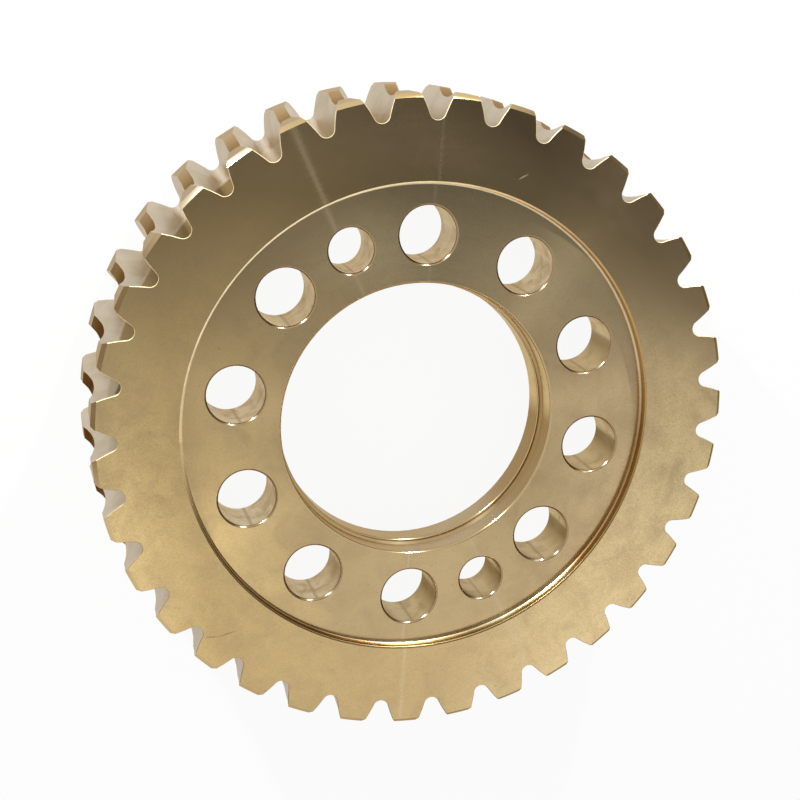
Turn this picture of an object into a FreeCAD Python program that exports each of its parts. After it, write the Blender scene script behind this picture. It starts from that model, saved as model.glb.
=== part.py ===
import FreeCAD, Part
import math
import os

# Worm wheel that turns a blade: one bronze piece with 35 throated helical teeth,
# a bolting flange set into the rim and a stepped bore.
# Millimetres. +Z is the wheel's axis and points out of the front face.
# The back face of the rim lies on Z = 0. +X runs through the middle large hole.

# tooth drive
teeth = 35
axial_module = 8.0
pressure_angle = 20.0
worm_pitch_diameter = 100.0
worm_start_count = 1
worm_tip_clearance = 2.9
gap_allowance = 0.4
root_rounding = 2.4
tooth_phase_angle = 3.3

# rim, its walls measured inwards from the bottom of the tooth gaps
rim_width = 68.0
throat_depth = 3.5
throat_curve_radius = 54.0
outer_chamfer = 2.0
front_rim_wall = 17.4
front_recess_depth = 5.0
front_recess_fillet = 1.2
back_rim_wall = 16.1
back_mouth_wall = 7.6
back_recess_corner = 3.0
back_mouth_chamfer = 1.0
face_edge_break = 0.4

# flange and bore, measured inwards from the recess by way of the bolt circle
flange_thickness = 27.0
recess_to_bolt_circle = 24.2
bolt_circle_to_bore = 22.3
bore_step = 1.6
front_bore_depth = 10.5
bore_step_radius = 6.0
bore_edge_break = 0.9
bore_step_break = 0.5

# flange holes, all on one bolt circle
large_hole_diameter = 27.0
small_hole_diameter = 21.0
large_hole_angle = 33.0
large_holes_per_group = 5
hole_edge_break = 0.9

# how finely the tooth flanks are drawn, and how far the cutters pass the surfaces
flank_points = 3
gap_sections = 7
cutter_overrun = 2.0

pitch_radius = axial_module * teeth / 2
worm_radius = worm_pitch_diameter / 2
centre_distance = pitch_radius + worm_radius
worm_tip_radius = worm_radius + axial_module + worm_tip_clearance
worm_pitch = math.pi * axial_module
worm_lead = worm_pitch * worm_start_count
mid_plane = rim_width / 2
throat_radius = pitch_radius + axial_module
outer_radius = throat_radius + throat_depth
gap_bottom_radius = centre_distance - worm_tip_radius
front_recess_radius = gap_bottom_radius - front_rim_wall
back_recess_radius = gap_bottom_radius - back_rim_wall
back_mouth_radius = gap_bottom_radius - back_mouth_wall
bolt_circle_radius = front_recess_radius - recess_to_bolt_circle
front_bore_radius = bolt_circle_radius - bolt_circle_to_bore
rear_bore_radius = front_bore_radius - bore_step
floor_height = rim_width - front_recess_depth
flange_back = floor_height - flange_thickness


def at(radius, height):
    """Point of the turned profile."""
    return FreeCAD.Vector(radius, 0, height)


def turn_point(centre, radius, angle):
    """Point on a circle of the profile, its angle measured from outwards to upwards."""
    turn = math.radians(angle)
    return centre + FreeCAD.Vector(radius * math.cos(turn), 0, radius * math.sin(turn))


def line(start, end):
    return Part.LineSegment(start, end).toShape()


def arc(start, middle, end):
    return Part.Arc(start, middle, end).toShape()


def smooth_edge(points):
    curve = Part.BSplineCurve()
    curve.interpolate(points)
    return curve.toShape()


def turned_blank():
    """Rim, flange and stepped bore, turned as one profile before the teeth are cut."""
    # below its straight wall the front bore curves in to the rear bore's edge break
    step_start = at(front_bore_radius, floor_height - front_bore_depth)
    step_centre = step_start - FreeCAD.Vector(bore_step_radius, 0, 0)
    step_reach = rear_bore_radius + bore_step_break - step_centre.x
    step_end_angle = -math.degrees(math.acos(step_reach / bore_step_radius))
    step_middle = turn_point(step_centre, bore_step_radius, step_end_angle / 2)
    step_end = turn_point(step_centre, bore_step_radius, step_end_angle)

    # the front recess meets the flange in a fillet
    front_fillet = at(front_recess_radius - front_recess_fillet, floor_height + front_recess_fillet)

    # the throat is a hollow that clears the worm, sunk between two plain lands
    throat_centre = at(throat_radius + throat_curve_radius, mid_plane)
    throat_reach = throat_curve_radius - throat_depth
    throat_half_angle = math.degrees(math.acos(throat_reach / throat_curve_radius))

    corners = [
        at(rear_bore_radius, flange_back + bore_edge_break),
        at(rear_bore_radius + bore_edge_break, flange_back),
        at(back_recess_radius - back_recess_corner, flange_back),
        at(back_recess_radius, flange_back - back_recess_corner),
        at(back_mouth_radius, back_mouth_chamfer),
        at(back_mouth_radius + back_mouth_chamfer, 0),
        at(outer_radius - outer_chamfer, 0),
        at(outer_radius, outer_chamfer),
        turn_point(throat_centre, throat_curve_radius, 180 + throat_half_angle),
        turn_point(throat_centre, throat_curve_radius, 180 - throat_half_angle),
        at(outer_radius, rim_width - outer_chamfer),
        at(outer_radius - outer_chamfer, rim_width),
        at(front_recess_radius + face_edge_break, rim_width),
        at(front_recess_radius, rim_width - face_edge_break),
        turn_point(front_fillet, front_recess_fillet, 0),
        turn_point(front_fillet, front_recess_fillet, -90),
        at(front_bore_radius + bore_edge_break, floor_height),
        at(front_bore_radius, floor_height - bore_edge_break),
        step_start,
        step_end,
        at(rear_bore_radius, step_end.z - bore_step_break),
    ]
    bulges = {
        8: turn_point(throat_centre, throat_curve_radius, 180),
        14: turn_point(front_fillet, front_recess_fillet, -45),
        18: step_middle,
    }
    edges = []
    for index, start in enumerate(corners):
        end = corners[(index + 1) % len(corners)]
        if index in bulges:
            edges.append(arc(start, bulges[index], end))
        else:
            edges.append(line(start, end))
    profile = Part.Face(Part.Wire(edges))
    return profile.revolve(FreeCAD.Vector(0, 0, 0), FreeCAD.Vector(0, 0, 1), 360)


def flank_point(depth, offset, side):
    """Where the rolling worm thread leaves the wheel, as radius and angle.

    depth is measured from the worm's axis towards the wheel, offset from the
    wheel's mid plane along its axis, and side is +1 or -1 for the two flanks.
    """
    slope = math.tan(math.radians(pressure_angle))
    reach = math.hypot(depth, offset)
    half_gap = worm_pitch / 4 + gap_allowance / 2 - (reach - worm_radius) * slope
    thread_turn = worm_lead * math.atan2(offset, depth) / (2 * math.pi)
    along = side * half_gap + thread_turn
    steepness = -side * slope * depth / reach - worm_lead * offset / (2 * math.pi * reach ** 2)
    shift = -along - (depth - worm_radius) / steepness
    away = centre_distance - depth
    angle = math.atan2(along + shift, away) - shift / pitch_radius
    return math.hypot(away, along + shift), angle


def depth_at_radius(radius, offset, side):
    """Depth on the worm whose flank point lies at the given radius of the wheel."""
    shallow = 0.3 * (centre_distance - radius)
    deep = math.sqrt(worm_tip_radius ** 2 - offset ** 2)
    for _ in range(50):
        middle = (shallow + deep) / 2
        if flank_point(middle, offset, side)[0] > radius:
            shallow = middle
        else:
            deep = middle
    return (shallow + deep) / 2


def on_wheel(radius, angle, height):
    turn = angle + math.radians(tooth_phase_angle)
    return FreeCAD.Vector(radius * math.cos(turn), radius * math.sin(turn), height)


def gap_section(offset):
    """Outline of one tooth gap in the plane that lies offset from the mid plane."""
    height = mid_plane + offset
    opening_radius = outer_radius + cutter_overrun
    root_depth = math.sqrt(worm_tip_radius ** 2 - offset ** 2)
    flank_end = root_depth - root_rounding
    flanks = []
    angles = []
    for side in (1, -1):
        flank_start = depth_at_radius(opening_radius, offset, side)
        points = []
        for index in range(flank_points):
            depth = flank_start + (flank_end - flank_start) * index / (flank_points - 1)
            radius, angle = flank_point(depth, offset, side)
            points.append(on_wheel(radius, angle, height))
        angles.append(angle)
        flanks.append(points)
    left, right = flanks
    root = on_wheel(centre_distance - root_depth, sum(angles) / 2, height)
    bottom = arc(left[-1], root, right[-1])
    mouth = line(right[0], left[0])
    return Part.Wire([smooth_edge(left), bottom, smooth_edge(right[::-1]), mouth])


def gap_cutter():
    """One tooth gap, swept through its sections from one face of the rim to the other."""
    reach = mid_plane + cutter_overrun
    offsets = [reach * (2 * index / (gap_sections - 1) - 1) for index in range(gap_sections)]
    sections = [gap_section(offset) for offset in offsets]
    return Part.makeLoft(sections, True, True)


def hole_cutter(diameter, angle):
    """One flange hole on the bolt circle, with its two broken edges."""
    radius = diameter / 2
    mouth_radius = radius + hole_edge_break + cutter_overrun
    outline = [
        at(0, flange_back - cutter_overrun),
        at(mouth_radius, flange_back - cutter_overrun),
        at(radius, flange_back + hole_edge_break),
        at(radius, floor_height - hole_edge_break),
        at(mouth_radius, floor_height + cutter_overrun),
        at(0, floor_height + cutter_overrun),
    ]
    face = Part.Face(Part.makePolygon(outline + outline[:1]))
    cutter = face.revolve(FreeCAD.Vector(0, 0, 0), FreeCAD.Vector(0, 0, 1), 360)
    cutter.translate(FreeCAD.Vector(bolt_circle_radius, 0, 0))
    cutter.rotate(FreeCAD.Vector(0, 0, 0), FreeCAD.Vector(0, 0, 1), angle)
    return cutter


def flange_holes():
    """Two facing groups of large holes, and one small hole in each space between them."""
    cutters = []
    first = -large_hole_angle * (large_holes_per_group - 1) / 2
    for group in (0, 180):
        for index in range(large_holes_per_group):
            angle = group + first + index * large_hole_angle
            cutters.append(hole_cutter(large_hole_diameter, angle))
        cutters.append(hole_cutter(small_hole_diameter, group + 90))
    return cutters


def tooth_gaps():
    cutter = gap_cutter()
    cutters = []
    for index in range(teeth):
        copy = cutter.copy()
        copy.rotate(FreeCAD.Vector(0, 0, 0), FreeCAD.Vector(0, 0, 1), 360 * index / teeth)
        cutters.append(copy)
    return cutters


wheel = turned_blank().cut(flange_holes())
wheel = wheel.cut(tooth_gaps())
solids = wheel.Solids
if len(solids) != 1 or not solids[0].isValid():
    raise ValueError("the wheel has to be one sound solid")
print("volume cm3", round(wheel.Volume / 1000, 1))
print("centre distance to its worm", centre_distance)

os.makedirs("parts", exist_ok=True)
solids[0].exportStep("parts/worm_wheel.step")
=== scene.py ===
import math

import bpy
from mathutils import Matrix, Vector


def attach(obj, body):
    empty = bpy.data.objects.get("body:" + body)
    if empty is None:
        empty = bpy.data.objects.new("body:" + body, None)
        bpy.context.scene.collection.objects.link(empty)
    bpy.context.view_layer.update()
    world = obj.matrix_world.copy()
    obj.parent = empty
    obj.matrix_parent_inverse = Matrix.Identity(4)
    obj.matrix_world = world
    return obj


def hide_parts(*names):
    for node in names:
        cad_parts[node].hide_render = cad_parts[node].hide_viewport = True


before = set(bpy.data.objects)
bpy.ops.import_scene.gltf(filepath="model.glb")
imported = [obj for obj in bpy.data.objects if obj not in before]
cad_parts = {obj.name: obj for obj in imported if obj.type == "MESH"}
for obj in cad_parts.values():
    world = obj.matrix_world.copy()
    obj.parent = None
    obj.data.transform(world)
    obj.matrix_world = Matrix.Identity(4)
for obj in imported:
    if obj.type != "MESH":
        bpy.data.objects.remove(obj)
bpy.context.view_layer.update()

scene = bpy.context.scene
scene.view_settings.view_transform = "Standard"

# directions as the camera sees the wheel: right and up in the plane of its face
viewRight = Vector((0.933, -0.360, 0))
viewUp = Vector((0.360, 0.933, 0))
frontHeight = 0.068  # where the front face of the rim lies
number = "NodeSocketFloat"
vector = "NodeSocketVector"


def deselectAll():
    if bpy.context.object and bpy.context.object.mode != "OBJECT":
        bpy.ops.object.mode_set(mode="OBJECT")
    bpy.ops.object.select_all(action="DESELECT")


def makeActive(thing):
    deselectAll()
    thing.select_set(True)
    bpy.context.view_layer.objects.active = thing


def setSocket(tree, socket, value):
    if isinstance(value, bpy.types.NodeSocket):
        tree.links.new(value, socket)
    else:
        socket.default_value = value


def addNode(tree, kind, inputs=None, **options):
    made = tree.nodes.new(kind)
    for name, value in options.items():
        setattr(made, name, value)
    for name, value in (inputs or {}).items():
        setSocket(tree, made.inputs[name], value)
    return made


def calc(tree, operation, first, second=0.0, third=0.0, clamp=False):
    inputs = {0: first, 1: second, 2: third}
    return addNode(tree, "ShaderNodeMath", inputs, operation=operation, use_clamp=clamp).outputs[0]


def vectorCalc(tree, operation, first, second=(0, 0, 0)):
    made = addNode(tree, "ShaderNodeVectorMath", {0: first, 1: second}, operation=operation)
    return made.outputs["Value" if operation in ("LENGTH", "DOT_PRODUCT") else "Vector"]


def spread(tree, value, low, high, toLow=0.0, toHigh=1.0):
    inputs = {"Value": value, "From Min": low, "From Max": high, "To Min": toLow, "To Max": toHigh}
    return addNode(tree, "ShaderNodeMapRange", inputs).outputs[0]


def mixColor(tree, factor, first, second):
    made = addNode(tree, "ShaderNodeMix", data_type="RGBA")
    for name, value in (("Factor_Float", factor), ("A_Color", first), ("B_Color", second)):
        setSocket(tree, next(s for s in made.inputs if s.identifier == name), value)
    return next(s for s in made.outputs if s.identifier == "Result_Color")


def tintBy(tree, tone, mask, share, color):
    return mixColor(tree, calc(tree, "MULTIPLY", mask, share), tone, color)


def ownPlace(tree):
    return addNode(tree, "ShaderNodeTexCoord").outputs["Object"]


def withoutHeight(tree, place):
    # its length is then the radius from the axis of the wheel
    return vectorCalc(tree, "MULTIPLY", place, (1, 1, 0))


def newGroup(name, inputs, outputs):
    group = bpy.data.node_groups.new(name, "ShaderNodeTree")
    for label, kind, value in inputs:
        socket = group.interface.new_socket(label, in_out="INPUT", socket_type=kind)
        socket.default_value = value
    for label in outputs:
        group.interface.new_socket(label, in_out="OUTPUT", socket_type=number)
    return group, group.nodes.new("NodeGroupInput").outputs, group.nodes.new("NodeGroupOutput").inputs


def placeGroup(tree, group, inputs):
    return addNode(tree, "ShaderNodeGroup", inputs, node_tree=group).outputs


markLook = {
    "wideRings": 0.16, "wideHeight": 0.6, "ringRough": 0.6,
    "cloudRough": 0.62, "cloudBend": 0.6, "speckles": 1300.0, "pits": 800.0, "pitSpan": (0.70, 0.80),
    "streakRough": 0.55, "highlightFall": 2.2, "highlightRings": 1500.0, "highlightSpan": (0.25, 0.75), "highlightLeast": 0.45,
    "scratchFall": 0.5,
}


def buildTurningMarks(look=markLook):
    # fine rings that the lathe tool leaves round the axis, with a few wider bands
    group, given, out = newGroup("turningMarks",
        [("Rings", number, 1100.0), ("Drift", number, 1.5)], ("Height", "Bands"))
    place = ownPlace(group)
    height = addNode(group, "ShaderNodeSeparateXYZ", {0: place}).outputs[2]
    flat = withoutHeight(group, place)
    radius = vectorCalc(group, "LENGTH", flat)
    around = addNode(group, "ShaderNodeSeparateXYZ", {0: vectorCalc(group, "NORMALIZE", flat)}).outputs
    east = calc(group, "MULTIPLY", around[0], given["Drift"])
    north = calc(group, "MULTIPLY", around[1], given["Drift"])
    heights = []
    for share in (1.0, look["wideRings"]):
        rings = calc(group, "MULTIPLY", given["Rings"], share)
        across = calc(group, "MULTIPLY", radius, rings)
        along = calc(group, "MULTIPLY", height, rings)
        point = addNode(group, "ShaderNodeCombineXYZ", {0: across, 1: east, 2: north}).outputs[0]
        noise = addNode(group, "ShaderNodeTexNoise",
            {"Vector": point, "W": along, "Scale": 1.0, "Detail": 3.0, "Roughness": look["ringRough"]},
            noise_dimensions="4D")
        heights.append(noise.outputs["Fac"])
    both = calc(group, "MULTIPLY_ADD", heights[1], look["wideHeight"], heights[0])
    group.links.new(both, out["Height"])
    group.links.new(heights[1], out["Bands"])
    return group


def buildStains(look=markLook):
    # cloudy patches of old coolant and finger marks, a fine grain and a few dark pits
    group, given, out = newGroup("stains",
        [("Size", number, 28.0), ("Low", number, 0.5), ("High", number, 0.75)],
        ("Cloud", "Speckle", "Pits"))
    place = ownPlace(group)
    cloud = addNode(group, "ShaderNodeTexNoise", {"Vector": place, "Scale": given["Size"], "Detail": 6.0,
        "Roughness": look["cloudRough"], "Distortion": look["cloudBend"]})
    fine = addNode(group, "ShaderNodeTexNoise", {"Vector": place, "Scale": look["speckles"], "Detail": 2.0})
    pits = addNode(group, "ShaderNodeTexNoise", {"Vector": place, "Scale": look["pits"], "Detail": 1.0})
    group.links.new(spread(group, cloud.outputs["Fac"], given["Low"], given["High"]), out["Cloud"])
    group.links.new(fine.outputs["Fac"], out["Speckle"])
    group.links.new(spread(group, pits.outputs["Fac"], *look["pitSpan"]), out["Pits"])
    return group


def buildDrawMarks(look=markLook):
    # faint streaks along the axis, as a drill or a hob leaves them
    group, given, out = newGroup("drawMarks",
        [("Fine", number, 420.0), ("Along", number, 8.0)], ("Streaks",))
    sizes = {0: given["Fine"], 1: given["Fine"], 2: given["Along"]}
    stretch = addNode(group, "ShaderNodeCombineXYZ", sizes).outputs[0]
    point = vectorCalc(group, "MULTIPLY", ownPlace(group), stretch)
    noise = addNode(group, "ShaderNodeTexNoise",
        {"Vector": point, "Scale": 1.0, "Detail": 2.0, "Roughness": look["streakRough"]})
    group.links.new(noise.outputs["Fac"], out["Streaks"])
    return group


def buildHighlightStreak(look=markLook):
    # a painted highlight: a thin soft streak from the bore outwards on both sides, as a lamp shows in the
    # turned grooves
    group, given, out = newGroup("highlightStreak",
        [("Across", vector, (1, 0, 0)), ("Width", number, 0.03)], ("Mark",))
    flat = withoutHeight(group, ownPlace(group))
    aside = vectorCalc(group, "DOT_PRODUCT", vectorCalc(group, "NORMALIZE", flat), given["Across"])
    distance = calc(group, "DIVIDE", calc(group, "ABSOLUTE", aside), given["Width"])
    near = calc(group, "POWER", calc(group, "SUBTRACT", 1.0, distance, clamp=True), look["highlightFall"])
    rings = calc(group, "MULTIPLY", vectorCalc(group, "LENGTH", flat), look["highlightRings"])
    noise = addNode(group, "ShaderNodeTexNoise",
        {"W": rings, "Scale": 1.0, "Detail": 2.0}, noise_dimensions="1D")
    share = spread(group, noise.outputs["Fac"], *look["highlightSpan"], look["highlightLeast"], 1.0)
    group.links.new(calc(group, "MULTIPLY", near, share), out["Mark"])
    return group


def buildScratch(look=markLook):
    # one short scratch in a face, given by its middle, its direction, its half length and its half width
    group, given, out = newGroup("scratch", [("Middle", vector, (0, 0, 0)), ("Along", vector, (1, 0, 0)),
        ("Length", number, 0.002), ("Width", number, 0.0002)], ("Mark",))
    offset = vectorCalc(group, "SUBTRACT", ownPlace(group), given["Middle"])
    across = vectorCalc(group, "CROSS_PRODUCT", given["Along"], (0, 0, 1))
    shares = []
    for way, reach in ((given["Along"], given["Length"]), (across, given["Width"])):
        away = calc(group, "ABSOLUTE", vectorCalc(group, "DOT_PRODUCT", offset, way))
        shares.append(calc(group, "SUBTRACT", 1.0, calc(group, "DIVIDE", away, reach), clamp=True))
    lengthwise = calc(group, "POWER", shares[0], look["scratchFall"])
    group.links.new(calc(group, "MULTIPLY", lengthwise, shares[1]), out["Mark"])
    return group


def buildSeenRadius(eye):
    # how far out a point seems to lie in the plane of the front face, for the eye that took the photo
    group, _, out = newGroup("seenRadius", [], ("Radius",))
    offset = vectorCalc(group, "SUBTRACT", ownPlace(group), eye)
    depth = addNode(group, "ShaderNodeSeparateXYZ", {0: offset}).outputs[2]
    shrink = calc(group, "DIVIDE", frontHeight - eye[2], depth)
    moved = addNode(group, "ShaderNodeVectorMath", {0: offset, "Scale": shrink}, operation="SCALE").outputs[0]
    onFace = vectorCalc(group, "ADD", moved, (eye[0], eye[1], 0))
    group.links.new(vectorCalc(group, "LENGTH", withoutHeight(group, onFace)), out["Radius"])
    return group


cameraLook = {
    "place": (-0.10471, 0.26271, 0.76264), "turn": (-15.227, -14.673, -21.09),
    "lens": 72.62, "sensor": 36.0, "nearest": 0.01,
}
turningMarks = buildTurningMarks()
stains = buildStains()
drawMarks = buildDrawMarks()
highlightStreak = buildHighlightStreak()
scratch = buildScratch()
seenRadius = buildSeenRadius(cameraLook["place"])
print("shared effects ready")


def toneRamp(tree, factor, stops):
    # painted reflections round a wall, by the angle in degrees that they stand at
    ramp = addNode(tree, "ShaderNodeValToRGB", {"Fac": factor})
    marks = ramp.color_ramp.elements
    while len(marks) < len(stops):
        marks.new(0.5)
    for mark, (angle, color) in zip(marks, stops):
        mark.position = (angle + 180) / 360
        mark.color = (*color, 1)
    return ramp.outputs["Color"]


def paintedWallReflection(tree, place, tone, look):
    # painted reflections of the room round a wall as the camera sees it, with the dark seam down a drilled
    # one
    around = addNode(tree, "ShaderNodeAttribute", attribute_name="wallAngle").outputs["Fac"]
    lower = vectorCalc(tree, "DOT_PRODUCT", place, viewRight - viewUp)
    share = spread(tree, lower, *look["wallSpan"], look["wallLeast"], 1.0)
    room = toneRamp(tree, spread(tree, around, -180.0, 180.0), look["paintedReflections"])
    away = calc(tree, "ABSOLUTE", calc(tree, "SUBTRACT", around, look["seamAngle"]))
    seam = spread(tree, away, *look["seamSpan"], look["seamShare"], 0.0)
    return mixColor(tree, seam, mixColor(tree, share, tone, room), look["seamColor"])


def dullRoots(tree, place, look):
    # deep in a gap on the left, next to the front edge as the camera sees it, the metal is made dark brown,
    # rougher and less metallic
    high = spread(tree, vectorCalc(tree, "DOT_PRODUCT", place, viewUp), *look["rootHigh"])
    left = spread(tree, vectorCalc(tree, "DOT_PRODUCT", place, viewRight), *look["rootLeft"], 1.0, 0.0)
    seen = placeGroup(tree, seenRadius, {})["Radius"]
    deep = spread(tree, seen, *look["rootSpan"], look["rootShare"], 0.0)
    return calc(tree, "MULTIPLY", calc(tree, "MULTIPLY", high, left), deep)


def bronzeMaterial(name, look):
    material = bpy.data.materials.new(name)
    material.use_nodes = True
    tree = material.node_tree
    surface = tree.nodes["Principled BSDF"].inputs
    place = ownPlace(tree)
    marks = placeGroup(tree, turningMarks, {"Rings": look["rings"], "Drift": look["drift"]})
    patches = placeGroup(tree, stains,
        {"Size": look["stainSize"], "Low": look["stainLow"], "High": look["stainHigh"]})
    draws = placeGroup(tree, drawMarks, {"Fine": look["drawFine"], "Along": look["drawAlong"]})
    # painted light and shade: the colour moves towards its second colour along toneWay, as the camera sees
    # the wheel
    side = vectorCalc(tree, "DOT_PRODUCT", place, look["toneWay"])
    tone = mixColor(tree, spread(tree, side, *look["toneSpan"]), look["color"], look["paintedSideColor"])
    # painted reflections, highlights and shade round a wall
    if look["paintedReflections"]:
        tone = paintedWallReflection(tree, place, tone, look)
    # painted light and shade, on one side of a face as the camera sees it
    for turn, low, high, most, color in look["paintedLightAndShade"]:
        way = viewRight * math.cos(math.radians(turn)) - viewUp * math.sin(math.radians(turn))
        near = vectorCalc(tree, "DOT_PRODUCT", place, way)
        tone = mixColor(tree, spread(tree, near, low, high, 0.0, most), tone, color)
    tone = tintBy(tree, tone, marks["Bands"], look["bandShare"], look["bandColor"])
    tone = tintBy(tree, tone, draws["Streaks"], look["drawShare"], look["bandColor"])
    tone = tintBy(tree, tone, patches["Cloud"], look["stainShare"], look["stainColor"])
    grains = spread(tree, patches["Speckle"], *look["grainSpan"], 0.0, look["grainShare"])
    tone = mixColor(tree, grains, tone, look["stainColor"])
    tone = tintBy(tree, tone, patches["Pits"], look["pitShare"], look["pitColor"])
    rough = calc(tree, "MULTIPLY_ADD", patches["Cloud"], look["stainRough"], look["rough"])
    surface["Metallic"].default_value = look["metal"]
    if look["rootShare"]:
        dull = dullRoots(tree, place, look)
        tone = mixColor(tree, dull, tone, look["rootColor"])
        rough = calc(tree, "MULTIPLY_ADD", dull, look["rootRough"], rough)
        metal = spread(tree, dull, 0.0, 1.0, look["metal"], look["rootMetal"])
        tree.links.new(metal, surface["Metallic"])
    rough = calc(tree, "MULTIPLY_ADD", patches["Speckle"], look["speckleRough"], rough)
    # painted highlight streaks: along them the colour turns paler and the face rougher
    for turn, width, share in look["highlightStreaks"]:
        line = viewRight * math.sin(math.radians(turn)) + viewUp * math.cos(math.radians(turn))
        mark = placeGroup(tree, highlightStreak, {"Across": line, "Width": width})["Mark"]
        rough = calc(tree, "MULTIPLY_ADD", mark, share, rough)
        tone = tintBy(tree, tone, mark, look["streakHighlightShare"], look["streakHighlightColor"])
    for middle, turn, length, width, share, color in look["scratches"]:
        way = (math.cos(math.radians(turn)), math.sin(math.radians(turn)), 0)
        mark = placeGroup(tree, scratch,
            {"Middle": middle, "Along": way, "Length": length, "Width": width})["Mark"]
        tone = tintBy(tree, tone, mark, share, color)
        rough = calc(tree, "MULTIPLY_ADD", mark, look["scratchRough"], rough)
    tree.links.new(tone, surface["Base Color"])
    tree.links.new(rough, surface["Roughness"])
    surface["Specular Tint"].default_value = look["grazing"]
    surface["Specular IOR Level"].default_value = look["specular"]
    surface["Anisotropic"].default_value = look["streak"]
    if look["streak"]:
        tangent = addNode(tree, "ShaderNodeTangent", direction_type="RADIAL", axis="Z")
        tree.links.new(tangent.outputs[0], surface["Tangent"])
    relief = calc(tree, "MULTIPLY_ADD", patches["Speckle"], look["grain"], marks["Height"])
    relief = calc(tree, "MULTIPLY_ADD", draws["Streaks"], look["drawDepth"], relief)
    bump = addNode(tree, "ShaderNodeBump",
        {"Height": relief, "Distance": look["reliefHeight"], "Strength": look["relief"]})
    tree.links.new(bump.outputs[0], surface["Normal"])
    return material


# angles in painted light and shade and in painted highlight streaks are degrees, clockwise from the right as
# the camera sees the wheel
# painted light or shade: its side, how far out it starts and is full, its share and its color
# a painted highlight streak: its angle, its half width as a share of the radius, and how much rougher it is
turnedLook = {
    "color": (0.62, 0.44, 0.185, 1), "paintedSideColor": (0.62, 0.47, 0.26, 1),
    "toneWay": viewRight, "toneSpan": (-0.12, 0.13), "paintedLightAndShade": (), "grazing": (1, 1, 1, 1),
    "bandColor": (0.52, 0.38, 0.18, 1), "bandShare": 0.5, "rings": 1100.0, "drift": 1.2,
    "stainColor": (0.39, 0.28, 0.155, 1), "stainShare": 0.5,
    "stainSize": 70.0, "stainLow": 0.44, "stainHigh": 0.80,
    "grainShare": 0.24, "grainSpan": (0.36, 0.64), "pitShare": 0.3, "pitColor": (0.16, 0.11, 0.05, 1),
    "rough": 0.22, "stainRough": 0.04, "speckleRough": 0.03, "metal": 1.0, "specular": 0.1, "streak": 0.9,
    "grain": 0.1, "relief": 0.10, "reliefHeight": 0.0001,
    "drawFine": 420.0, "drawAlong": 8.0, "drawShare": 0.0, "drawDepth": 0.0,
    "highlightStreaks": ((247, 0.028, 0.13), (274, 0.016, 0.06)), "streakHighlightShare": 0.25, "streakHighlightColor": (0.85, 0.74, 0.55, 1),
    "paintedReflections": (), "wallLeast": 1.0, "wallSpan": (0.0, 0.08),
    "seamAngle": 82.0, "seamSpan": (1.5, 5.0), "seamShare": 0.0, "seamColor": (0.26, 0.18, 0.09, 1),
    "scratches": (), "scratchRough": 0.3, "rootShare": 0.0,
}
plainLook = {
    **turnedLook, "streak": 0.0, "highlightStreaks": (), "grainShare": 0.0, "pitShare": 0.0,
    "grazing": (0.80, 0.66, 0.46, 1),
}

# painted reflections, highlights and shade round the walls: an angle as for painted light, and the color
# there
paintedHoleReflections = (
    (-95, (0.58, 0.48, 0.33)), (-50, (0.76, 0.65, 0.44)), (-10, (0.70, 0.58, 0.38)),
    (0, (0.23, 0.155, 0.075)), (14, (0.21, 0.14, 0.065)), (30, (0.40, 0.29, 0.15)),
    (58, (0.62, 0.48, 0.27)), (105, (0.62, 0.53, 0.37)), (150, (0.60, 0.53, 0.42)),
)
paintedHoleEdgeReflections = (
    (-170, (0.22, 0.14, 0.07)), (-120, (0.34, 0.24, 0.13)), (45, (0.34, 0.24, 0.13)),
    (54, (0.8, 0.7, 0.5)), (62, (0.38, 0.27, 0.15)), (90, (0.38, 0.27, 0.15)), (97, (0.8, 0.7, 0.5)),
    (106, (0.36, 0.25, 0.13)), (120, (0.12, 0.07, 0.025)), (175, (0.12, 0.07, 0.025)),
)
# painted reflections and highlights round the bore and its step
paintedBoreReflections = (
    (-90, (0.62, 0.48, 0.27)), (-30, (0.80, 0.66, 0.40)), (-3, (0.76, 0.61, 0.36)),
    (6, (0.34, 0.23, 0.12)), (40, (0.38, 0.27, 0.15)), (58, (0.52, 0.42, 0.29)),
    (100, (0.56, 0.46, 0.32)), (140, (0.54, 0.39, 0.20)),
)
paintedStepReflections = (
    (-90, (0.56, 0.42, 0.22)), (-30, (0.48, 0.34, 0.17)), (-8, (0.28, 0.17, 0.06)),
    (48, (0.30, 0.19, 0.08)), (58, (0.78, 0.62, 0.36)), (66, (0.44, 0.32, 0.17)),
    (86, (0.44, 0.32, 0.17)), (96, (0.80, 0.64, 0.38)), (106, (0.46, 0.34, 0.18)),
    (150, (0.40, 0.28, 0.13)),
)
# painted reflections, highlights and shade round the recess wall and its edge
paintedRecessReflections = (
    (-150, (0.80, 0.60, 0.30)), (-80, (0.66, 0.54, 0.36)), (-10, (0.56, 0.44, 0.28)),
    (8, (0.28, 0.17, 0.07)), (42, (0.34, 0.22, 0.10)), (52, (0.80, 0.72, 0.56)),
    (60, (0.58, 0.48, 0.32)), (68, (0.84, 0.76, 0.58)), (76, (0.56, 0.44, 0.27)),
    (93, (0.82, 0.70, 0.46)), (104, (0.52, 0.38, 0.20)), (118, (0.24, 0.15, 0.06)),
    (157, (0.17, 0.11, 0.045)), (170, (0.42, 0.30, 0.14)), (180, (0.80, 0.60, 0.30)),
)
paintedBrimReflections = (
    (-178, (0.88, 0.68, 0.36)), (-150, (1.0, 0.86, 0.58)), (-95, (1.0, 0.82, 0.50)),
    (-68, (0.84, 0.58, 0.27)), (-48, (0.54, 0.34, 0.14)), (20, (0.40, 0.23, 0.07)),
    (55, (0.60, 0.40, 0.16)), (100, (0.72, 0.50, 0.21)), (126, (0.30, 0.20, 0.08)),
    (158, (0.26, 0.17, 0.07)), (172, (0.70, 0.52, 0.26)),
)
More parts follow.
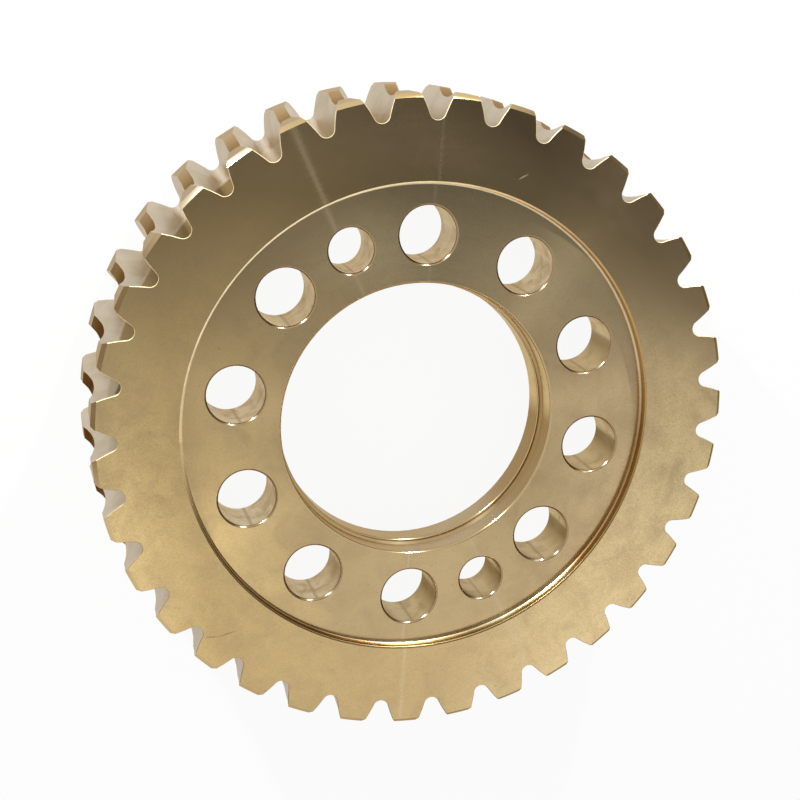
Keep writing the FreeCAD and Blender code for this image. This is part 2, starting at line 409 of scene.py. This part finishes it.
# painted highlight and painted dark reflection round the outer chamfer
paintedChamferReflections = (
    (-180, (0.16, 0.09, 0.035)), (-150, (0.22, 0.14, 0.06)), (-138, (0.55, 0.42, 0.24)),
    (-127, (0.95, 0.86, 0.66)), (-117, (0.66, 0.50, 0.26)), (-78, (0.60, 0.44, 0.20)),
    (-62, (0.13, 0.085, 0.04)), (-25, (0.07, 0.045, 0.02)), (60, (0.12, 0.08, 0.035)),
    (110, (0.50, 0.37, 0.20)), (150, (0.62, 0.46, 0.24)), (168, (0.62, 0.46, 0.24)),
    (180, (0.16, 0.09, 0.035)),
)

# a scratch: its middle, its angle from +X, its half length and half width, its share and its color
finishLooks = {
    "turnedFace": {**turnedLook,
        "scratches": (
            ((0.0851, 0.0882, frontHeight), 4.3, 0.0025, 0.0004, 1.0, (1.0, 0.90, 0.70, 1)),
            ((-0.1286, -0.0533, frontHeight), -26.4, 0.0032, 0.0005, 0.4, (0.24, 0.16, 0.08, 1)),
            ((-0.1218, -0.0552, frontHeight), -7.3, 0.0046, 0.0005, 0.4, (0.24, 0.16, 0.08, 1)),
        ),
        "paintedLightAndShade": (
            (22, 0.06, 0.12, 1.0, (0.92, 0.71, 0.38, 1)), (172, 0.11, 0.15, 1.0, (1.0, 0.74, 0.34, 1)),
            (275, 0.105, 0.128, 1.0, (0.96, 0.70, 0.38, 1)), (206, 0.11, 0.15, 0.65, (0.34, 0.24, 0.12, 1)),
            (250, 0.115, 0.145, 0.35, (0.34, 0.24, 0.12, 1)), (314, 0.10, 0.13, 0.9, (0.32, 0.23, 0.13, 1)),
        )},
    "turnedFlange": {**turnedLook, "color": (0.50, 0.37, 0.19, 1), "rings": 1500.0, "rough": 0.27,
        "paintedLightAndShade": (
            (-8, 0.05, 0.105, 1.0, (0.98, 0.74, 0.42, 1)), (172, 0.05, 0.10, 0.8, (1.0, 0.73, 0.32, 1)),
            (284, 0.050, 0.085, 1.0, (1.0, 0.82, 0.48, 1)), (206, 0.07, 0.11, 0.6, (0.30, 0.21, 0.11, 1)),
            (243, 0.080, 0.105, 0.55, (0.28, 0.20, 0.11, 1)), (317, 0.05, 0.10, 0.6, (0.34, 0.26, 0.15, 1)),
        )},
    "outerChamfer": {**plainLook, "paintedReflections": paintedChamferReflections,
        "bandShare": 0.1, "rough": 0.12, "relief": 0.02},
    "recessEdge": {**plainLook, "paintedReflections": paintedBrimReflections, "bandShare": 0.1, "rough": 0.30, "relief": 0.02},
    "boreEdge": {**plainLook, "color": (0.50, 0.37, 0.19, 1), "paintedSideColor": (0.46, 0.34, 0.18, 1),
        "bandShare": 0.2, "rough": 0.11, "relief": 0.05},
    "boreStep": {**plainLook, "paintedReflections": paintedStepReflections, "rings": 1600.0, "bandShare": 0.4,
        "rough": 0.12, "relief": 0.08},
    "holeEdge": {**plainLook, "paintedReflections": paintedHoleEdgeReflections, "bandShare": 0.0, "rough": 0.11, "relief": 0.05},
    # painted highlight: the gap edges turn from dark at the bottom of the view to pale at the top
    "gapEdge": {**plainLook, "color": (0.26, 0.19, 0.10, 1), "paintedSideColor": (0.90, 0.76, 0.48, 1),
        "toneWay": viewUp, "toneSpan": (-0.05, 0.04),
        "bandShare": 0.0, "stainShare": 0.2, "rough": 0.6, "relief": 0.05},
    "recessWall": {**plainLook, "paintedReflections": paintedRecessReflections, "bandShare": 0.15, "rough": 0.24, "relief": 0.02},
    "boreWall": {**plainLook, "paintedReflections": paintedBoreReflections, "rings": 1600.0,
        "bandColor": (0.30, 0.21, 0.10, 1), "bandShare": 0.4, "rough": 0.22, "relief": 0.16},
    "drilledWall": {**plainLook, "color": (0.80, 0.71, 0.56, 1), "paintedSideColor": (0.80, 0.69, 0.50, 1),
        "paintedReflections": paintedHoleReflections, "wallLeast": 0.25, "seamShare": 0.5,
        "bandColor": (0.40, 0.31, 0.19, 1), "bandShare": 0.0, "drawShare": 0.35, "drawDepth": 0.8,
        "stainShare": 0.65, "stainSize": 120.0, "stainLow": 0.46, "stainHigh": 0.66,
        "rough": 0.34, "relief": 0.15},
    "hobbedFlank": {**plainLook, "color": (0.63, 0.56, 0.46, 1), "paintedSideColor": (0.60, 0.54, 0.46, 1),
        "grazing": (0.86, 0.82, 0.75, 1), "bandColor": (0.50, 0.40, 0.25, 1), "bandShare": 0.4,
        "drawFine": 260.0, "drawAlong": 90.0, "drawShare": 0.3, "drawDepth": 0.4,
        "rings": 500.0, "rough": 0.36, "relief": 0.15,
        "rootShare": 0.95, "rootColor": (0.15, 0.10, 0.035, 1), "rootMetal": 0.0, "rootRough": 0.4,
        "rootSpan": (0.1446, 0.1462), "rootHigh": (0.0, 0.03), "rootLeft": (-0.075, -0.045)},
    # painted shade and reflection: the tips low in the view are dark brown and turn lighter towards the top
    "turnedTip": {**plainLook, "color": (0.13, 0.08, 0.04, 1), "paintedSideColor": (0.55, 0.40, 0.24, 1),
        "toneWay": viewUp, "toneSpan": (0.05, 0.13), "grazing": (0.34, 0.24, 0.15, 1),
        "bandShare": 0.15, "rough": 0.34},
    "turnedLand": {**plainLook, "color": (0.42, 0.36, 0.29, 1), "paintedSideColor": (0.52, 0.45, 0.36, 1),
        "bandShare": 0.2, "rough": 0.34},
    "turnedBack": {**turnedLook, "rings": 700.0, "rough": 0.30, "highlightStreaks": ()},
    "castHollow": {**plainLook, "color": (0.50, 0.37, 0.19, 1), "paintedSideColor": (0.50, 0.37, 0.19, 1),
        "rough": 0.45, "relief": 0.3, "grain": 1.2},
}
finishes = {name: bronzeMaterial(name, look) for name, look in finishLooks.items()}
print("finishes ready:", len(finishes))


wheelSizes = {
    "floorHeight": 0.063, "flangeBack": 0.036, "hair": 0.00005,
    "boreLimit": 0.067, "holeOuter": 0.1035, "recessLimit": 0.1135, "toothLimit": 0.1255, "tipLimit": 0.146,
    "boltCircle": 0.0875, "holeAngles": (-66, -33, 0, 33, 66, 90, 114, 147, 180, 213, 246, 270),
    "filletCircle": (0.1105, 0.0642), "stepCircle": (0.0592, 0.0525), "stepLow": 0.0489,
    "throatCircle": (0.202, 0.034), "landLimit": 0.1505,
    "flatRise": 0.999, "slantRise": (0.687, 0.727), "boreEdgeRise": 0.95,
    "drilledRise": 0.3, "landRise": 0.01,
    "turnedShare": 0.9995, "mergeGap": 0.000002, "smoothAngle": 28, "leastAgreement": 0.8,
    "edgeRound": 0.0003, "brimRound": 0.0004,
    "edgeSwing": {"holeEdge": 14, "boreEdge": 12, "recessEdge": 6, "outerChamfer": 6},
}


def pointOnBoltCircle(degrees, sizes):
    turn = math.radians(degrees)
    return sizes["boltCircle"] * math.cos(turn), sizes["boltCircle"] * math.sin(turn)


def radialParts(center, normal, middle=(0, 0)):
    # how far out a face lies from an axis, and how much it looks outwards
    east, north = center[0] - middle[0], center[1] - middle[1]
    radius = max(math.hypot(east, north), 1e-6)
    return radius, (normal[0] * east + normal[1] * north) / radius


def finishOf(face, sizes=wheelSizes):
    # which finish a face of the wheel has, by its place and the way it looks
    height, rise = face.center.z, face.normal.z
    radius, outward = radialParts(face.center, face.normal)
    slanted = sizes["slantRise"][0] < abs(rise) < sizes["slantRise"][1]
    if rise > sizes["flatRise"]:
        return "turnedFace" if height > frontHeight - sizes["hair"] else "turnedFlange"
    if rise < -sizes["flatRise"]:
        return "turnedBack"
    if radius < sizes["boreLimit"]:
        if sizes["stepLow"] < height < sizes["stepCircle"][1]:
            return "boreStep"
        return "boreEdge" if slanted or abs(rise) > sizes["boreEdgeRise"] else "boreWall"
    if radius < sizes["holeOuter"] and height > sizes["flangeBack"] - sizes["hair"]:
        return "drilledWall" if abs(rise) < sizes["drilledRise"] else "holeEdge"
    if height > sizes["floorHeight"] - sizes["hair"] and radius < sizes["recessLimit"]:
        return "recessEdge" if slanted and height > sizes["filletCircle"][1] else "recessWall"
    if radius < sizes["toothLimit"]:
        return "castHollow"
    if radius > sizes["tipLimit"] and math.hypot(outward, rise) > sizes["turnedShare"]:
        if slanted:
            return "outerChamfer"
        return "turnedLand" if abs(rise) < sizes["landRise"] and radius > sizes["landLimit"] else "turnedTip"
    return "hobbedFlank"


def axisOf(face, finish, sizes=wheelSizes):
    # the axis that a wall was turned or drilled round
    if finish not in ("drilledWall", "holeEdge"):
        return 0, 0
    centres = [pointOnBoltCircle(degrees, sizes) for degrees in sizes["holeAngles"]]
    return min(centres, key=lambda c: math.hypot(c[0] - face.center.x, c[1] - face.center.y))


def exactNormal(face, point, finish, middle, sizes=wheelSizes):
    # the true direction of a turned or drilled surface at one of its corners
    if finish in ("hobbedFlank", "turnedFace", "turnedFlange", "turnedBack", "gapEdge", "castHollow"):
        return None
    outward, rise = radialParts(face.center, face.normal, middle)[1], face.normal.z
    east, north = point.x - middle[0], point.y - middle[1]
    radius = max(math.hypot(east, north), 1e-6)
    circle = None
    if finish == "recessWall" and face.center.z < sizes["filletCircle"][1]:
        circle = sizes["filletCircle"]
    elif finish == "boreStep":
        circle = sizes["stepCircle"]
    elif finish == "turnedTip":
        circle = sizes["throatCircle"]
    if circle:
        outward, rise = circle[0] - radius, circle[1] - point.z
    elif finish in sizes["edgeSwing"]:
        # a broken edge is rounded a little, so it turns from the flat side to the wall
        swing = math.radians(sizes["edgeSwing"][finish])
        nearFlat = (point.z - face.center.z) * rise > 0
        tilt = math.atan2(abs(outward), abs(rise)) - (swing if nearFlat else -swing)
        outward, rise = math.copysign(math.sin(tilt), outward), math.copysign(math.cos(tilt), rise)
    return Vector((east / radius * outward, north / radius * outward, rise)).normalized()


def viewAngle(point, middle):
    # angle round an axis in degrees, clockwise from the right as the camera sees it
    offset = Vector((point.x - middle[0], point.y - middle[1], 0))
    return math.degrees(math.atan2(-offset.dot(viewUp), offset.dot(viewRight)))


def finishesAtEdges(mesh):
    seen = {}
    for face in mesh.polygons:
        for pair in face.edge_keys:
            seen.setdefault(pair, set()).add(face.material_index)
    return seen


def splitAtFinishes(mesh, soft):
    # a smooth face stays flat right up to its rounds and chamfers
    seen = finishesAtEdges(mesh)
    for edge in mesh.edges:
        if len(seen.get(edge.key, ())) > 1 and soft not in seen[edge.key]:
            edge.use_edge_sharp = True


def roundEdges(wheel, names, first, others, finish, width):
    # an edge that was rubbed down, which leaves it a little wider and rounder
    flats = {names.index(name) for name in others}
    seen = finishesAtEdges(wheel.data)
    bpy.ops.object.mode_set(mode="EDIT")
    bpy.ops.mesh.select_mode(type="EDGE")
    bpy.ops.mesh.select_all(action="DESELECT")
    bpy.ops.object.mode_set(mode="OBJECT")
    for edge in wheel.data.edges:
        kinds = seen.get(edge.key, set())
        edge.select = names.index(first) in kinds and bool(kinds & flats)
    bpy.ops.object.mode_set(mode="EDIT")
    bpy.ops.mesh.bevel(offset=width, segments=1, affect="EDGES", clamp_overlap=False,
        material=names.index(finish))
    bpy.ops.object.mode_set(mode="OBJECT")


def aimSurfaces(mesh, names, sizes=wheelSizes):
    # turned and drilled walls get their true directions, and every corner its angle round its axis
    normals = [Vector(corner.vector) for corner in mesh.corner_normals]
    angles = mesh.attributes.new("wallAngle", "FLOAT", "CORNER").data
    for face in mesh.polygons:
        finish = names[face.material_index]
        middle = axisOf(face, finish)
        facing = viewAngle(face.center, middle)
        for corner in face.loop_indices:
            point = mesh.vertices[mesh.loops[corner].vertex_index].co
            turned = viewAngle(point, middle) - facing
            angles[corner].value = facing + (turned + 180) % 360 - 180
            exact = exactNormal(face, point, finish, middle)
            if exact and exact.dot(face.normal) > sizes["leastAgreement"]:
                normals[corner] = exact
    mesh.normals_split_custom_set(normals)


def buildWheel(sizes=wheelSizes):
    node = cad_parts["worm_wheel"]
    wheel = bpy.data.objects.new("bronzeWheel", node.data.copy())
    scene.collection.objects.link(wheel)
    makeActive(wheel)
    bpy.ops.object.mode_set(mode="EDIT")
    bpy.ops.mesh.select_all(action="SELECT")
    bpy.ops.mesh.remove_doubles(threshold=sizes["mergeGap"])
    bpy.ops.object.mode_set(mode="OBJECT")
    bpy.ops.mesh.customdata_custom_splitnormals_clear()
    wheel.data.materials.clear()
    names = list(finishes)
    for name in names:
        wheel.data.materials.append(finishes[name])
    for face in wheel.data.polygons:
        face.material_index = names.index(finishOf(face))
    roundEdges(wheel, names, "hobbedFlank", ("turnedFace", "turnedBack"), "gapEdge", sizes["edgeRound"])
    roundEdges(wheel, names, "recessEdge", ("turnedFace",), "recessEdge", sizes["brimRound"])
    bpy.ops.object.shade_smooth_by_angle(angle=math.radians(sizes["smoothAngle"]))
    splitAtFinishes(wheel.data, names.index("gapEdge"))
    aimSurfaces(wheel.data, names)
    return wheel


wheel = buildWheel()
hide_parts("worm_wheel")
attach(wheel, "root")
print("wheel ready:", len(wheel.data.polygons), "faces")


stageLook = {
    "floorSize": 6.0, "floorDrop": 0.0002, "floorColor": (0.93, 0.93, 0.93, 1), "floorRough": 0.8,
    "floorLift": 0.92, "worldPlain": 0.55, "worldSeen": 1.0, "white": (1, 1, 1, 1),
}
lampLooks = {
    "lampRight": {"right": 0.315, "up": 0.886, "rise": 0.34, "away": 1.3, "size": 0.05, "power": 11.0},
    "lampLeft": {"right": -0.529, "up": 0.778, "rise": 0.34, "away": 1.3, "size": 0.05, "power": 15.0},
}
shadeLook = {
    "right": 0.6, "up": 0.40, "height": 1.3, "width": 2.4, "depth": 1.4, "turn": -9.0,
    "color": (0.115, 0.115, 0.115, 1),
}


def backgroundRays(tree):
    # one for the rays that show the pale background, in the picture or in the metal
    path = addNode(tree, "ShaderNodeLightPath").outputs
    seen = calc(tree, "MAXIMUM", path["Is Camera Ray"], path["Is Glossy Ray"])
    return calc(tree, "MAXIMUM", seen, path["Is Transmission Ray"])


def buildFloor(look=stageLook):
    deselectAll()
    bpy.ops.mesh.primitive_plane_add(size=look["floorSize"], location=(0, 0, -look["floorDrop"]))
    floor = bpy.context.object
    floor.name = "paleFloor"
    material = bpy.data.materials.new("palePaper")
    material.use_nodes = True
    tree = material.node_tree
    paper = tree.nodes["Principled BSDF"]
    paper.inputs["Base Color"].default_value = look["floorColor"]
    paper.inputs["Roughness"].default_value = look["floorRough"]
    white = addNode(tree, "ShaderNodeEmission", {"Color": look["white"], "Strength": 1.0})
    share = calc(tree, "MULTIPLY", backgroundRays(tree), look["floorLift"])
    mixed = addNode(tree, "ShaderNodeMixShader", {0: share, 1: paper.outputs[0], 2: white.outputs[0]})
    # seen from below the paper is clear, so that the back of the wheel can be looked at
    below = addNode(tree, "ShaderNodeNewGeometry").outputs["Backfacing"]
    clear = addNode(tree, "ShaderNodeBsdfTransparent")
    whole = addNode(tree, "ShaderNodeMixShader", {0: below, 1: mixed.outputs[0], 2: clear.outputs[0]})
    tree.links.new(whole.outputs[0], tree.nodes["Material Output"].inputs["Surface"])
    floor.data.materials.append(material)


def buildShade(look=shadeLook):
    # a dark card over the far side, seen only in the metal
    middle = viewRight * look["right"] + viewUp * look["up"]
    turn = math.atan2(viewRight.y, viewRight.x) + math.radians(look["turn"])
    deselectAll()
    bpy.ops.mesh.primitive_plane_add(size=1, location=(middle.x, middle.y, look["height"]),
        rotation=(0, 0, turn))
    card = bpy.context.object
    card.name = "darkCard"
    card.scale = (look["width"], look["depth"], 1)
    material = bpy.data.materials.new("darkCard")
    material.use_nodes = True
    tree = material.node_tree
    glow = addNode(tree, "ShaderNodeEmission", {"Color": look["color"], "Strength": 1.0})
    tree.links.new(glow.outputs[0], tree.nodes["Material Output"].inputs["Surface"])
    card.data.materials.append(material)
    card.visible_camera = False
    card.visible_diffuse = False
    card.visible_shadow = False
    card.visible_transmission = False


def buildLamps(looks=lampLooks):
    for name, look in looks.items():
        direction = viewRight * look["right"] + viewUp * look["up"] + Vector((0, 0, look["rise"]))
        deselectAll()
        bpy.ops.object.light_add(type="AREA", location=direction * look["away"])
        lamp = bpy.context.object
        lamp.name = name
        lamp.data.shape = "DISK"
        lamp.data.size = look["size"]
        lamp.data.energy = look["power"]
        lamp.rotation_euler = direction.to_track_quat("Z", "Y").to_euler()


def buildWorld(look=stageLook):
    world = bpy.data.worlds.new("paleRoom")
    scene.world = world
    world.use_nodes = True
    tree = world.node_tree
    background = tree.nodes["Background"]
    background.inputs["Color"].default_value = look["white"]
    strength = spread(tree, backgroundRays(tree), 0.0, 1.0, look["worldPlain"], look["worldSeen"])
    tree.links.new(strength, background.inputs["Strength"])


def buildCamera(look=cameraLook):
    deselectAll()
    bpy.ops.object.camera_add(location=look["place"], rotation=[math.radians(a) for a in look["turn"]])
    camera = bpy.context.object
    camera.name = "photoCamera"
    camera.data.lens = look["lens"]
    camera.data.sensor_width = look["sensor"]
    camera.data.clip_start = look["nearest"]
    scene.camera = camera


buildFloor()
buildShade()
buildLamps()
buildWorld()
buildCamera()
print("stage ready")
